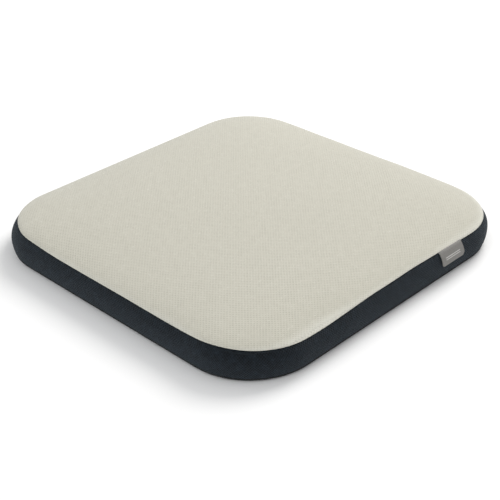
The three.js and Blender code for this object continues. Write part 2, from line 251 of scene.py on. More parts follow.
# cloth maps
def outlinePlace(outline, x, y):
    # how far round the outline a point lies, from the middle of the rear, turning left
    radius = outline["radius"]
    arc = radius * math.pi / 2
    middle = (outline["front"] + outline["rear"]) / 2
    across, out = x, y - middle
    halfWide, halfDeep = outline["side"] - radius, outline["rear"] - middle - radius
    place = 0
    for isLast in (False, False, False, True):
        if isLast or (out >= halfDeep and across <= halfWide):
            break
        place += halfWide + arc + halfDeep
        across, out, halfWide, halfDeep = out, -across, halfDeep, halfWide
    if across >= -halfWide:
        return place - across
    return place + halfWide + radius * math.atan2(-halfWide - across, out - halfDeep)


def mapRound(piece, outline, across):
    # lays the cloth's map round the outline; across gives a point's place over the section
    radius = outline["radius"]
    whole = 4 * (outline["side"] - radius) + 2 * (outline["rear"] - outline["front"] - 2 * radius)
    whole += 2 * math.pi * radius
    mesh = piece.data
    layer = mesh.uv_layers.new(name="cloth")
    for polygon in mesh.polygons:
        middle = outlinePlace(outline, polygon.center.x, polygon.center.y)
        for loop in polygon.loop_indices:
            co = mesh.vertices[mesh.loops[loop].vertex_index].co
            along = outlinePlace(outline, co.x, co.y)
            along += whole * round((middle - along) / whole)
            layer.data[loop].uv = (along, across(co))


def mapCloth(piece, place):
    mesh = piece.data
    layer = mesh.uv_layers.new(name="cloth")
    for loop in mesh.loops:
        layer.data[loop.index].uv = place(mesh.vertices[loop.vertex_index].co)


def mapFlat(piece, lift):
    # lays the cloth's map flat over the panel, let out where the panel rolls down
    mapCloth(piece, lambda co: co.xy + co.xy.normalized() * lift(co))


# handmade unevenness
uneven = {
    "size": 95 * mm, "amount": 0.5 * mm,        # slow waves in the stuffing
    "seamSize": 34 * mm, "seamAmount": 0.25 * mm,  # the seams' own wander
    "seamReach": 9 * mm,
    "zipHalf": 118 * mm, "zipFade": 22 * mm,    # calm beside the zip
    "ground": (2 * mm, 9 * mm), "rear": (half - 40 * mm, half - 20 * mm),
    "edge": (half - 70 * mm, half - 8 * mm),
}


# where the top seam rises or dips, and how far it is drawn in: x, y, reach, rise, pull (mm)
seamWaves = [
    (-100, -190, 45, -2.5, 0), (-178, -140, 28, 1.2, 0), (-190, -90, 35, -0.8, 0), (-172, 172, 60, 2.4, 4.0),
    (30, -190, 40, 0.4, 0), (115, -190, 40, -1.2, 0), (190, 40, 60, -0.5, 0), (-190, 60, 40, -0.4, 0),
    (175, -150, 40, -1.6, 0),
]


def seamWander(co):
    moved = Vector((0, 0, 0))
    inwards = Vector((-co.x, -co.y, 0)).normalized()
    for x, y, reach, rise, pull in seamWaves:
        away = math.hypot(co.x - x * mm, co.y - y * mm) / (reach * mm)
        share = mm * math.exp(-away * away)
        moved += share * (rise * Vector((0, 0, 1)) + pull * inwards)
    return moved


def settle(co):
    slow = noise.noise_vector(co / uneven["size"] + Vector((3.1, 1.7, 5.3))) * uneven["amount"]
    quick = noise.noise_vector(co / uneven["seamSize"] + Vector((8.2, 4.4, 0.9))) * uneven["seamAmount"]
    lift = smoothStep(*uneven["ground"], co.z)
    nearZip = smoothStep(uneven["zipHalf"], uneven["zipHalf"] + uneven["zipFade"], abs(co.x))
    calm = max(nearZip, 1 - smoothStep(*uneven["rear"], co.y))
    atSeam = math.exp(-((co.z - topSeam) / uneven["seamReach"]) ** 2)
    edge = smoothStep(*uneven["edge"], max(abs(co.x), abs(co.y)))
    moved = slow + quick * atSeam + seamWander(co) * atSeam * edge
    return co + moved * lift * calm


# materials
def newMaterial(name, colour, roughness, **sockets):
    material = bpy.data.materials.new(name)
    material.use_nodes = True
    shader = material.node_tree.nodes["Principled BSDF"]
    shader.inputs["Base Color"].default_value = (*colour, 1)
    shader.inputs["Roughness"].default_value = roughness
    for socket, value in sockets.items():
        shader.inputs[socket.replace("_", " ")].default_value = value
    return material, material.node_tree, shader


def mathNode(tree, operation, first, second=None, third=None, clamp=False):
    node = tree.nodes.new("ShaderNodeMath")
    node.operation = operation
    node.use_clamp = clamp
    for socket, value in zip(node.inputs, (first, second, third)):
        if value is None:
            continue
        if isinstance(value, (int, float)):
            socket.default_value = value
        else:
            tree.links.new(value, socket)
    return node.outputs[0]


def times(tree, first, second, clamp=False):
    return mathNode(tree, "MULTIPLY", first, second, clamp=clamp)


def mapRange(tree, value, fromMin, fromMax, toMin=0.0, toMax=1.0, interpolation="LINEAR"):
    node = tree.nodes.new("ShaderNodeMapRange")
    node.interpolation_type = interpolation
    node.inputs["From Min"].default_value = fromMin
    node.inputs["From Max"].default_value = fromMax
    node.inputs["To Min"].default_value = toMin
    node.inputs["To Max"].default_value = toMax
    tree.links.new(value, node.inputs["Value"])
    return node.outputs[0]


def splitPlace(tree, place):
    node = tree.nodes.new("ShaderNodeSeparateXYZ")
    tree.links.new(place, node.inputs[0])
    return node.outputs


def groupOf(name, values, outputs):
    # a group that takes a place and some values
    tree = bpy.data.node_groups.new(name, "ShaderNodeTree")
    tree.interface.new_socket(name="Place", in_out="INPUT", socket_type="NodeSocketVector")
    for label, value in values.items():
        socket = tree.interface.new_socket(name=label, in_out="INPUT", socket_type="NodeSocketFloat")
        socket.default_value = value
    for label in outputs:
        tree.interface.new_socket(name=label, in_out="OUTPUT", socket_type="NodeSocketFloat")
    return tree, tree.nodes.new("NodeGroupInput"), tree.nodes.new("NodeGroupOutput")


def placeGroup(tree, group, place, **values):
    node = tree.nodes.new("ShaderNodeGroup")
    node.node_tree = group
    tree.links.new(place, node.inputs["Place"])
    for label, value in values.items():
        node.inputs[label].default_value = value
    return node


def meshKnitGroup():
    # a warp-knitted mesh: staggered round openings with loops of yarn between them
    tree, inside, outside = groupOf(
        "meshKnit", {"Pitch": 3.6 * mm, "Opening": 0.3}, ("Openings", "Height", "Yarn"))
    across, along = (mathNode(tree, "DIVIDE", value, inside.outputs["Pitch"])
                     for value in splitPlace(tree, inside.outputs["Place"])[:2])

    def lattice(shift):
        # how far a point is from the nearest opening of one lattice, in pitches
        parts = []
        for value, stretch in ((across, 1.0), (along, 0.8)):
            shifted = mathNode(tree, "ADD", value, shift)
            nearest = mathNode(tree, "SUBTRACT", mathNode(tree, "FRACT", shifted), 0.5)
            parts.append(times(tree, nearest, stretch))
        squares = [times(tree, part, part) for part in parts]
        return mathNode(tree, "SQRT", mathNode(tree, "ADD", *squares))

    nearest = mathNode(tree, "MINIMUM", lattice(0.0), lattice(0.5))
    rim = mathNode(tree, "DIVIDE", nearest, inside.outputs["Opening"])
    solid = mapRange(tree, rim, 0.55, 1.15, interpolation="SMOOTHSTEP")
    openings = mathNode(tree, "SUBTRACT", 1.0, solid)

    # yarn loops: fine slanted ridges, their slant turning over at each column
    column = mathNode(tree, "PINGPONG", times(tree, across, 4.0), 1.0)
    slant = mathNode(tree, "ADD", times(tree, along, 5.0), times(tree, column, 0.9))
    ridge = mathNode(tree, "SINE", times(tree, slant, 2 * math.pi))
    wale = mathNode(tree, "SINE", times(tree, column, math.pi))
    yarn = mathNode(tree, "MULTIPLY_ADD", times(tree, ridge, wale), 0.5, 0.5)
    height = mathNode(tree, "MULTIPLY_ADD", yarn, 0.35, times(tree, solid, 0.65))
    tree.links.new(openings, outside.inputs["Openings"])
    tree.links.new(height, outside.inputs["Height"])
    tree.links.new(yarn, outside.inputs["Yarn"])
    return tree


def weaveGroup():
    # a plain weave: threads that pass over and under each other
    tree, inside, outside = groupOf("plainWeave", {"Pitch": 0.8 * mm}, ("Height", "Thread"))
    threads = [mathNode(tree, "DIVIDE", value, inside.outputs["Pitch"])
               for value in splitPlace(tree, inside.outputs["Place"])[:2]]
    sines = [mathNode(tree, "SINE", times(tree, value, math.pi)) for value in threads]
    over = times(tree, sines[0], sines[1])
    weft = mathNode(tree, "ABSOLUTE", sines[0])
    warp = mathNode(tree, "ABSOLUTE", sines[1])
    side = mathNode(tree, "GREATER_THAN", over, 0.0)
    mix = tree.nodes.new("ShaderNodeMix")
    tree.links.new(side, mix.inputs["Factor"])
    tree.links.new(weft, mix.inputs["A"])
    tree.links.new(warp, mix.inputs["B"])
    tree.links.new(mix.outputs["Result"], outside.inputs["Height"])
    tree.links.new(side, outside.inputs["Thread"])
    return tree


def mottleGroup():
    # slow and fine change of tone, as yarn and handling give
    tree, inside, outside = groupOf("mottle", {"Slow": 14.0, "Fine": 900.0}, ("Slow", "Fine"))
    for label, detail in (("Slow", 3.0), ("Fine", 2.0)):
        cloud = tree.nodes.new("ShaderNodeTexNoise")
        cloud.inputs["Detail"].default_value = detail
        tree.links.new(inside.outputs["Place"], cloud.inputs["Vector"])
        tree.links.new(inside.outputs[label], cloud.inputs["Scale"])
        tree.links.new(cloud.outputs["Fac"], outside.inputs[label])
    return tree


knitGroup = meshKnitGroup()
plainGroup = weaveGroup()
toneGroup = mottleGroup()


def clothPlace(tree):
    node = tree.nodes.new("ShaderNodeUVMap")
    node.uv_map = "cloth"
    return node.outputs["UV"]


def objectPlace(tree):
    return tree.nodes.new("ShaderNodeTexCoord").outputs["Object"]


def mixColours(tree, factor, first, second):
    node = tree.nodes.new("ShaderNodeMix")
    node.data_type = "RGBA"
    colourInputs = [socket for socket in node.inputs if socket.type == "RGBA"]
    factorInput = next(socket for socket in node.inputs if socket.name == "Factor" and socket.type == "VALUE")
    if isinstance(factor, (int, float)):
        factorInput.default_value = factor
    else:
        tree.links.new(factor, factorInput)
    for socket, value in zip(colourInputs, (first, second)):
        if isinstance(value, tuple):
            socket.default_value = (*value, 1)
        else:
            tree.links.new(value, socket)
    return next(socket for socket in node.outputs if socket.type == "RGBA")


def paint(tree, shader, factor, first, second):
    tree.links.new(mixColours(tree, factor, first, second), shader.inputs["Base Color"])


def addBump(tree, shader, height, distance, strength=1.0):
    bump = tree.nodes.new("ShaderNodeBump")
    bump.inputs["Distance"].default_value = distance
    bump.inputs["Strength"].default_value = strength
    tree.links.new(height, bump.inputs["Height"])
    tree.links.new(bump.outputs["Normal"], shader.inputs["Normal"])


def knitMaterial(name, colours, knit, tone, roughness, **sockets):
    # colours are yarn, opening (painted shade in the holes and between the loops), the yarn's darker tone and
    # a painted highlight colour
    material, tree, shader = newMaterial(name, colours["yarn"], roughness, **sockets)
    place = clothPlace(tree)
    pattern = placeGroup(tree, knitGroup, place, Pitch=knit["pitch"], Opening=knit["opening"])
    tones = placeGroup(tree, toneGroup, objectPlace(tree), Slow=tone["slow"], Fine=tone["fine"])
    slow = times(tree, tones.outputs["Slow"], tone["slowShare"], clamp=True)
    yarnTone = mixColours(tree, slow, colours["yarn"], colours["shade"])
    fine = times(tree, tones.outputs["Fine"], tone["fineShare"], clamp=True)
    yarnTone = mixColours(tree, fine, yarnTone, colours["shade"])
    # painted shade: the yarn is darkened where its loops dip between the ridges
    loops = mathNode(tree, "SUBTRACT", 1.0, pattern.outputs["Yarn"])
    yarnTone = mixColours(tree, times(tree, loops, knit["loopShadeShare"]), yarnTone, colours["opening"])
    # painted highlight: the yarn is painted paler in flecks where it catches the light, and the openings
    # close up here and there
    flecks = placeGroup(tree, toneGroup, place, Slow=tone["glint"], Fine=tone["closing"])
    bright = mapRange(tree, flecks.outputs["Slow"], 0.54, 0.72)
    shine = times(tree, times(tree, bright, pattern.outputs["Yarn"]), tone["glintShare"])
    yarnTone = mixColours(tree, shine, yarnTone, colours["glint"])
    closed = mapRange(tree, flecks.outputs["Fine"], 0.36, 0.64, 0.25, 1.15)
    depth = times(tree, pattern.outputs["Openings"], knit["openingShare"])
    depth = times(tree, depth, closed, clamp=True)
    if "edge" in tone:
        # painted highlight: the knit is painted paler just above the seam, where its edge rolls down and
        # catches the light
        height = splitPlace(tree, objectPlace(tree))[2]
        edge = tone["edge"]
        near = mapRange(tree, height, edge + 3.2 * mm, edge + 0.4 * mm, toMax=tone["edgeShare"])
        yarnTone = mixColours(tree, near, yarnTone, colours["glint"])
    # painted shade: the openings are painted dark, as shade in the holes
    paint(tree, shader, depth, yarnTone, colours["opening"])
    addBump(tree, shader, pattern.outputs["Height"], knit["depth"], knit["strength"])
    return material


def weaveMaterial(name, colour, shade, pitch, depth, roughness, place=clothPlace, **sockets):
    material, tree, shader = newMaterial(name, colour, roughness, **sockets)
    pattern = placeGroup(tree, plainGroup, place(tree), Pitch=pitch)
    tones = placeGroup(tree, toneGroup, objectPlace(tree))
    thread = times(tree, pattern.outputs["Thread"], 0.35)
    toned = mixColours(tree, thread, colour, shade)
    slow = times(tree, tones.outputs["Slow"], 0.4)
    paint(tree, shader, slow, toned, shade)
    addBump(tree, shader, pattern.outputs["Height"], depth)
    return material


def foamMaterial(name, colour, shade, cellScale):
    # open cells, with painted shade darkening each cell towards its middle, in the pores
    material, tree, shader = newMaterial(name, colour, 0.95)
    place = objectPlace(tree)
    cells = tree.nodes.new("ShaderNodeTexVoronoi")
    cells.inputs["Scale"].default_value = cellScale
    tree.links.new(place, cells.inputs["Vector"])
    tones = placeGroup(tree, toneGroup, place, Slow=20.0)
    poreShade = times(tree, mathNode(tree, "SUBTRACT", 1.0, cells.outputs["Distance"]), 0.35, clamp=True)
    toned = mixColours(tree, poreShade, colour, shade)
    slow = times(tree, tones.outputs["Slow"], 0.3)
    paint(tree, shader, slow, toned, shade)
    addBump(tree, shader, cells.outputs["Distance"], 0.0004)
    return material


def metalMaterial(name, colour, worn):
    # plated metal with fine brushing, worn paler in places
    material, tree, shader = newMaterial(name, colour, 0.34, Metallic=1.0)
    place = objectPlace(tree)
    tones = placeGroup(tree, toneGroup, place, Slow=260.0, Fine=2600.0)
    share = times(tree, mapRange(tree, tones.outputs["Slow"], 0.52, 0.68), 0.35)
    paint(tree, shader, share, colour, worn)
    tree.links.new(mathNode(tree, "MULTIPLY_ADD", tones.outputs["Fine"], 0.25, 0.22),
                   shader.inputs["Roughness"])
    addBump(tree, shader, tones.outputs["Fine"], 0.00002)
    return material


def plasticMaterial(name, colour, shade, roughness, **sockets):
    material, tree, shader = newMaterial(name, colour, roughness, **sockets)
    tones = placeGroup(tree, toneGroup, objectPlace(tree), Slow=120.0, Fine=3000.0)
    slow = times(tree, tones.outputs["Slow"], 0.6)
    paint(tree, shader, slow, colour, shade)
    tree.links.new(mathNode(tree, "MULTIPLY_ADD", tones.outputs["Fine"], 0.3, roughness - 0.15),
                   shader.inputs["Roughness"])
    addBump(tree, shader, tones.outputs["Fine"], 0.00003)
    return material


def threadMaterial(name, colour, shade):
    # twisted thread, as slanted ridges, with painted shade in the grooves between them
    material, tree, shader = newMaterial(name, colour, 0.8, Sheen_Weight=0.2)
    wave = tree.nodes.new("ShaderNodeTexWave")
    wave.bands_direction = "DIAGONAL"
    wave.inputs["Scale"].default_value = 900.0
    tree.links.new(objectPlace(tree), wave.inputs["Vector"])
    paint(tree, shader, wave.outputs["Fac"], shade, colour)
    addBump(tree, shader, wave.outputs["Fac"], 0.00008)
    return material


stageNote("materials")
# the darkest of these colours is painted shade for the holes and between the loops; the palest is a painted
# highlight, for glints and for the rim above the seam
topColours = {"yarn": (0.555, 0.538, 0.462), "shade": (0.50, 0.485, 0.412), "opening": (0.35, 0.338, 0.28),
              "glint": (0.68, 0.67, 0.60)}
# the edge entries below paint a pale highlight on the knit just above the seam
topKnit = knitMaterial(
    "topKnit", topColours,
    {"pitch": 3.6 * mm, "opening": 0.24, "openingShare": 0.36, "loopShadeShare": 0.12, "depth": 0.35 * mm,
     "strength": 0.8},
    {"slow": 9.0, "slowShare": 0.3, "fine": 700.0, "fineShare": 0.25, "glint": 420.0, "closing": 120.0,
     "glintShare": 0.8, "edge": topSeam, "edgeShare": 0.75}, 0.93,
    Sheen_Weight=0.3, Sheen_Roughness=0.4, Sheen_Tint=(0.92, 0.96, 1.0, 1), Specular_IOR_Level=0.25)
# the darkest of these colours is painted shade for the holes and between the loops; the palest is a painted
# highlight for glints
bandColours = {"yarn": (0.0115, 0.0185, 0.026), "shade": (0.0065, 0.011, 0.0155),
               "opening": (0.0012, 0.0018, 0.0026), "glint": (0.042, 0.058, 0.075)}
bandMesh = knitMaterial(
    "bandMesh", bandColours,
    {"pitch": 2.6 * mm, "opening": 0.31, "openingShare": 1.0, "loopShadeShare": 0.3, "depth": 0.45 * mm,
     "strength": 1.0},
    {"slow": 12.0, "slowShare": 0.5, "fine": 900.0, "fineShare": 0.4, "glint": 500.0, "closing": 160.0,
     "glintShare": 0.8}, 0.86,
    Sheen_Weight=0.12, Sheen_Roughness=0.4, Sheen_Tint=(0.7, 0.85, 1.0, 1), Specular_IOR_Level=0.2)
baseWeave = weaveMaterial("baseWeave", (0.018, 0.02, 0.022), (0.008, 0.009, 0.01), 0.9 * mm, 0.12 * mm, 0.9)
linerWeave = weaveMaterial("linerWeave", (0.74, 0.72, 0.67), (0.62, 0.6, 0.55), 0.6 * mm, 0.06 * mm, 0.95)
tapeWeave = weaveMaterial("tapeWeave", (0.016, 0.019, 0.022), (0.006, 0.008, 0.01), 0.5 * mm, 0.08 * mm, 0.85,
                          place=objectPlace)
labelWeave = weaveMaterial("labelWeave", (0.185, 0.178, 0.165), (0.145, 0.14, 0.13), 0.35 * mm, 0.04 * mm,
                           0.6, Sheen_Weight=0.15)


def wovenStripes(material, pale, places, halfThick, halfLong):
    # thin pale lines woven across the ribbon
    tree = material.node_tree
    shader = tree.nodes["Principled BSDF"]
    plain = shader.inputs["Base Color"].links[0].from_socket
    along, height = splitPlace(tree, clothPlace(tree))[:2]
    inLength = mathNode(tree, "LESS_THAN", mathNode(tree, "ABSOLUTE", along), halfLong)
    lines = None
    for place in places:
        away = mathNode(tree, "ABSOLUTE", mathNode(tree, "SUBTRACT", height, place))
        line = mathNode(tree, "LESS_THAN", away, halfThick)
        lines = line if lines is None else mathNode(tree, "MAXIMUM", lines, line)
    mask = times(tree, lines, inLength)
    paint(tree, shader, mask, plain, pale)


wovenStripes(labelWeave, (0.5, 0.49, 0.47), (6.0 * mm, 7.9 * mm), 0.42 * mm, 11 * mm)
satinWeave = weaveMaterial("satinWeave", (0.82, 0.82, 0.8), (0.72, 0.72, 0.7), 0.3 * mm, 0.02 * mm, 0.45)
softFoam = foamMaterial("softFoam", (0.80, 0.75, 0.58), (0.62, 0.56, 0.4), 900.0)
firmFoam = foamMaterial("firmFoam", (0.32, 0.35, 0.37), (0.2, 0.22, 0.24), 650.0)
silicone = plasticMaterial("gripSilicone", (0.03, 0.033, 0.036), (0.018, 0.02, 0.022), 0.5)
nylon = plasticMaterial("zipNylon", (0.022, 0.025, 0.028), (0.012, 0.014, 0.016), 0.42)
gunmetal = metalMaterial("gunmetal", (0.09, 0.095, 0.1), (0.42, 0.42, 0.42))
overlockThread = threadMaterial("overlockThread", (0.5, 0.48, 0.42), (0.34, 0.33, 0.29))
darkThread = threadMaterial("darkThread", (0.035, 0.04, 0.045), (0.012, 0.014, 0.017))


# camera and studio
studio = {
    "distance": 1.15, "azimuth": -44.9, "elevation": 30.37, "roll": 1.29, "lens": 81.3,
    "shift": (0.0016, -0.0212), "floorSize": 9.0, "sky": 0.72,
    # name, place, size, power and colour
    "lights": [("keyLight", (1.55, 0.2, 1.4), 1.3, 33, (1.0, 0.985, 0.965)),
               ("fillLight", (-1.6, -0.3, 0.8), 1.4, 6, (0.93, 0.97, 1.0))],
}


def addCamera():
    a, e = math.radians(studio["azimuth"]), math.radians(studio["elevation"])
    back = Vector((math.sin(a) * math.cos(e), -math.cos(a) * math.cos(e), math.sin(e)))
    objectMode()
    bpy.ops.object.camera_add(location=back * studio["distance"])
    camera = bpy.context.active_object
    camera.name = "viewCamera"
    level = back.to_track_quat("Z", "Y").to_matrix()
    camera.rotation_euler = (level @ Matrix.Rotation(-math.radians(studio["roll"]), 3, "Z")).to_euler()
    camera.data.lens = studio["lens"]
    camera.data.sensor_width = 36
    camera.data.shift_x, camera.data.shift_y = studio["shift"]
    camera.data.clip_start = 0.01
    bpy.context.scene.camera = camera


def addLight(name, place, size, power, colour):
    bpy.ops.object.light_add(type="AREA", location=place)
    light = bpy.context.active_object
    light.name = name
    light.data.shape = "DISK"
    light.data.size = size
    light.data.energy = power
    light.data.color = colour
    light.rotation_euler = Vector(place).to_track_quat("Z", "Y").to_euler()


def addStudio():
    addCamera()
    for light in studio["lights"]:
        addLight(*light)
    world = bpy.data.worlds.new("studioSky")
    world.use_nodes = True
    world.node_tree.nodes["Background"].inputs["Color"].default_value = (1, 1, 1, 1)
    world.node_tree.nodes["Background"].inputs["Strength"].default_value = studio["sky"]
    bpy.context.scene.world = world
    bpy.context.scene.view_settings.view_transform = "Standard"
    bpy.ops.mesh.primitive_plane_add(size=studio["floorSize"], location=(0, 0, -0.05 * mm))
    floor = bpy.context.active_object
    floor.name = "studioFloor"
    floor.data.materials.append(newMaterial("palePaper", (0.93, 0.93, 0.93), 0.9)[0])


stageNote("studio")
addStudio()


# shared makers for the pieces
def domed(piece, drop):
    # raises the middle of the crown, as the stuffing does
    reach = shape["domeReach"]
    crownFoot = topSeam + crownRise * shape["domeFoot"] - drop

    def dome(co):
        inside = max(0, 1 - (co.x / reach) ** 2) * max(0, 1 - (co.y / reach) ** 2)
        lift = smoothStep(crownFoot, topSeam + crownRise - drop, co.z)
        return Vector((co.x, co.y, co.z + shape["domeRise"] * inside * lift))

    moveVertices(piece, dome)


def sweepAlong(name, points, fromX, toX, spacing, side=1, closedSection=False):
    def start(point):
        return Vector((fromX, side * (half - point[0]), point[1]))

    piece = drawSection(name, start, points + points[:1] if closedSection else points)
    if closedSection:
        mergeDoubles(1e-7)
    bpy.ops.mesh.select_all(action="SELECT")
    extrudeAlong(Vector((1, 0, 0)), toX - fromX, spacing)
    mergeDoubles(1e-7)
    if closedSection:
        bpy.ops.mesh.fill_holes(sides=0)
    faceOutwards(piece)
    return piece


def bandFace(low, high, rows, extra=0, curve=bulge):
    heights = [low + (high - low) * i / rows for i in range(rows + 1)]
    return [(curve(z) + extra, z) for z in heights]


def joined(pieces, name):
    objectMode()
    for piece in pieces:
        piece.select_set(True)
    bpy.context.view_layer.objects.active = pieces[0]
    if len(pieces) > 1:
        bpy.ops.object.join()
    pieces[0].name = name
    pieces[0].data.name = name
    return pieces[0]


def repeated(piece, steps):
    # copies the piece in a row for each (count, step), one row after another
    for count, step in steps:
        applyModifier(piece, "row", "ARRAY", count=count, use_relative_offset=False, use_constant_offset=True,
                      constant_offset_displace=step)
    return piece


# top cover
topCover = {
    "spacing": 5 * mm, "cornerSteps": 20, "thickness": 1.3 * mm, "allowance": 12 * mm, "gathers": 0.22 * mm,
    "rows": [0.006, 0.02, 0.05, 0.1, 0.17, 0.26, 0.36, 0.48, 0.61, 0.76, 0.9, 1.0],
    "pressure": 2.0, "frames": 20, "cap": 1.8 * mm, "growth": 0.0, "bending": 6, "evening": 40,
}


def evened(piece, moves, rounds):
    # spreads each point's movement over its neighbours, so that no crease is left
    moves = np.array(moves, float)
    ends = np.empty(2 * len(piece.data.edges), int)
    piece.data.edges.foreach_get("vertices", ends)
    ends = ends.reshape(-1, 2)
    count = np.bincount(ends.ravel(), minlength=len(moves))[:, None]
    still = np.linalg.norm(moves, axis=1) < 1e-7
    for _ in range(rounds):
        total = np.zeros_like(moves)
        np.add.at(total, ends[:, 0], moves[ends[:, 1]])
        np.add.at(total, ends[:, 1], moves[ends[:, 0]])
        moves = 0.3 * moves + 0.7 * total / np.maximum(count, 1)
        moves[still] = 0
    return moves


def simulateCloth(piece, values, pinned):
    # presses the cloth out from inside with its seams held, then evens the result and scales it to the cap
    rest = [vertex.co.copy() for vertex in piece.data.vertices]
    group = piece.vertex_groups.new(name="sewn")
    for vertex in piece.data.vertices:
        weight = pinned(vertex.co)
        if weight > 0:
            group.add([vertex.index], weight, "REPLACE")
    makeActive(piece)
    modifier = piece.modifiers.new("cloth", "CLOTH")
    cloth = modifier.settings
    cloth.quality = 5
    cloth.mass = 0.15
    cloth.tension_stiffness = 30
    cloth.compression_stiffness = 30
    cloth.shear_stiffness = 12
    cloth.bending_stiffness = values["bending"]
    cloth.use_pressure = True
    cloth.uniform_pressure_force = values["pressure"]
    cloth.effector_weights.gravity = 0
    cloth.vertex_group_mass = "sewn"
    cloth.shrink_min = -values["growth"]
    modifier.point_cache.frame_start = 1
    modifier.point_cache.frame_end = values["frames"]
    for step in range(1, values["frames"] + 1):
        bpy.context.scene.frame_set(step)
    bpy.ops.object.modifier_apply(modifier=modifier.name)
    bpy.context.scene.frame_set(1)
    moves = evened(piece, [vertex.co - start for vertex, start in zip(piece.data.vertices, rest)],
                   values["evening"])
    furthest = float(np.linalg.norm(moves, axis=1).max())
    share = min(1, values["cap"] / max(furthest, 1e-9))
    for vertex, start, move in zip(piece.data.vertices, rest, moves):
        vertex.co = start + Vector(move) * share
    piece.data.update()
    piece.vertex_groups.clear()
    print("   cloth moved up to", round(furthest / mm, 2), "mm", flush=True)


def subdivided(piece, levels):
    applyModifier(piece, "finer", "SUBSURF", levels=levels, render_levels=levels)


def thickened(piece, thickness):
    applyModifier(piece, "wall", "SOLIDIFY", thickness=thickness, offset=-1, use_even_offset=True,
                  thickness_clamp=0.9)


gather = {
    "reach": 7 * mm, "depth": 16 * mm, "pitch": 6.4 * mm, "drift": 60 * mm, "swell": 24 * mm,
    "peak": 2 * mm, "width": 2.2 * mm,
}


def pucker(co, seamHeight, side, amount):
    # small gathers that the stitches draw in beside a seam
    away = abs(co.z - seamHeight)
    if away > gather["reach"] or max(abs(co.x), abs(co.y)) < half - gather["depth"]:
        return co
    place = outlinePlace(cover, co.x, co.y)
    drift = 5 * noise.noise(Vector((place / gather["drift"], side, 0)))
    wave = math.sin(place / gather["pitch"] * 2 * math.pi + drift)
    strength = amount * wave * math.exp(-((away - gather["peak"]) / gather["width"]) ** 2)
    strength *= 0.55 + 0.6 * noise.noise(Vector((place / gather["swell"], side + 4, 0)))
    middle = half - cornerRadius
    outwards = Vector([value - max(-middle, min(middle, value)) for value in co.xy] + [0])
    return co + outwards.normalized() * strength if outwards.length > 0 else co


def makeTopCover():
    innerHeight = topSeam + crownRise
    insets = [seamInset + share * shape["shoulder"] for share in topCover["rows"]]
    turnIn = topSeam + 0.05 * mm
    section = [(cornerRadius, innerHeight)] + [(inset, topSeam + crown(inset)) for inset in insets[::-1]]
    section += [(seamInset + topCover["allowance"] * share, turnIn) for share in (0, *turnInShares)]
    piece = sweepOutline("topCover", cover, section, topCover["spacing"], topCover["cornerSteps"])
    fillMiddle(piece, cover, innerHeight, topCover["spacing"])
    faceOutwards(piece)
    domed(piece, 0)
    simulateCloth(piece, topCover, lambda co: 1.0 if co.z < topSeam + 1.6 * mm else 0.0)
    piece.data.validate()
    moveVertices(piece, settle)
    subdivided(piece, 1)
    moveVertices(piece, lambda co: pucker(co, topSeam, 1, topCover["gathers"]))
    mapFlat(piece, lambda co: 0.042 / mm * max(0, crownTop - co.z) ** 2 if co.z > topSeam else 0)
    thickened(piece, topCover["thickness"])
    shadeSmooth(piece, 50)
    finishPiece(piece, "cushion", topKnit, ["top_panel"])


stageNote("top cover")
makeTopCover()


# border band
band = {
    "spacing": 5 * mm, "cornerSteps": 22, "thickness": 1.1 * mm, "rows": 12, "allowance": 12 * mm,
    "gathers": 0.2 * mm,
    "pressure": 2.0, "frames": 16, "cap": 1.2 * mm, "growth": 0.0015, "bending": 1.2, "evening": 6,
}


def alongBand(co):
    # place over the band's height, let out over the turned-in edges
    inset = half - max(abs(co.x), abs(co.y))
    outer = max(0, inset - seamInset - 1 * mm) if not bandBottom + 1 * mm < co.z < bandTop - 1 * mm else 0
    return co.z + (outer if co.z > bandMiddle else -outer)


def makeBand():
    tip = bulge(bandBottom)
    lowReach = band["allowance"] + seamInset - tip
    section = [(tip + share * lowReach, bandBottom) for share in turnInShares[::-1]]
    section += bandFace(bandBottom, bandTop, band["rows"])
    section += [(seamInset + share * band["allowance"], bandTop) for share in turnInShares]
    piece = sweepOutline("borderBand", cover, section, band["spacing"], band["cornerSteps"],
                         gap=stripHigh.x + 0.3 * mm)
    faceOutwards(piece)

    def held(co):
        atSeam = not bandBottom + 1.2 * mm <= co.z <= bandTop - 1.2 * mm
        atZip = co.y > half - 20 * mm and abs(co.x) < stripHigh.x + 12 * mm
        return 1.0 if atSeam or atZip else 0.0

    simulateCloth(piece, band, held)
    moveVertices(piece, settle)
    subdivided(piece, 1)
    for seam, side in ((bandTop, 2), (bandBottom, 3)):
        moveVertices(piece, lambda co: pucker(co, seam, side, band["gathers"]))
    mapRound(piece, cover, alongBand)
    thickened(piece, band["thickness"])
    shadeSmooth(piece, 50)
    finishPiece(piece, "cushion", bandMesh, ["border_band"])


stageNote("border band")
makeBand()


# rear strips over and under the zip
zipMiddle = bandMiddle
strip = {
    "spacing": 4 * mm, "rows": 7, "thickness": 1.1 * mm, "foldDepth": 2.8 * mm,
    "hemTop": 1.75 * mm, "stitchLength": 2.6 * mm, "stitchPitch": 3.4 * mm, "stitchThick": 0.55 * mm,
    "stitchFromEdge": 3.2 * mm,
}


barTack = {"length": 2.4 * mm, "thick": 0.5 * mm, "pitch": 0.52 * mm, "count": 21, "aside": 0.2 * mm}


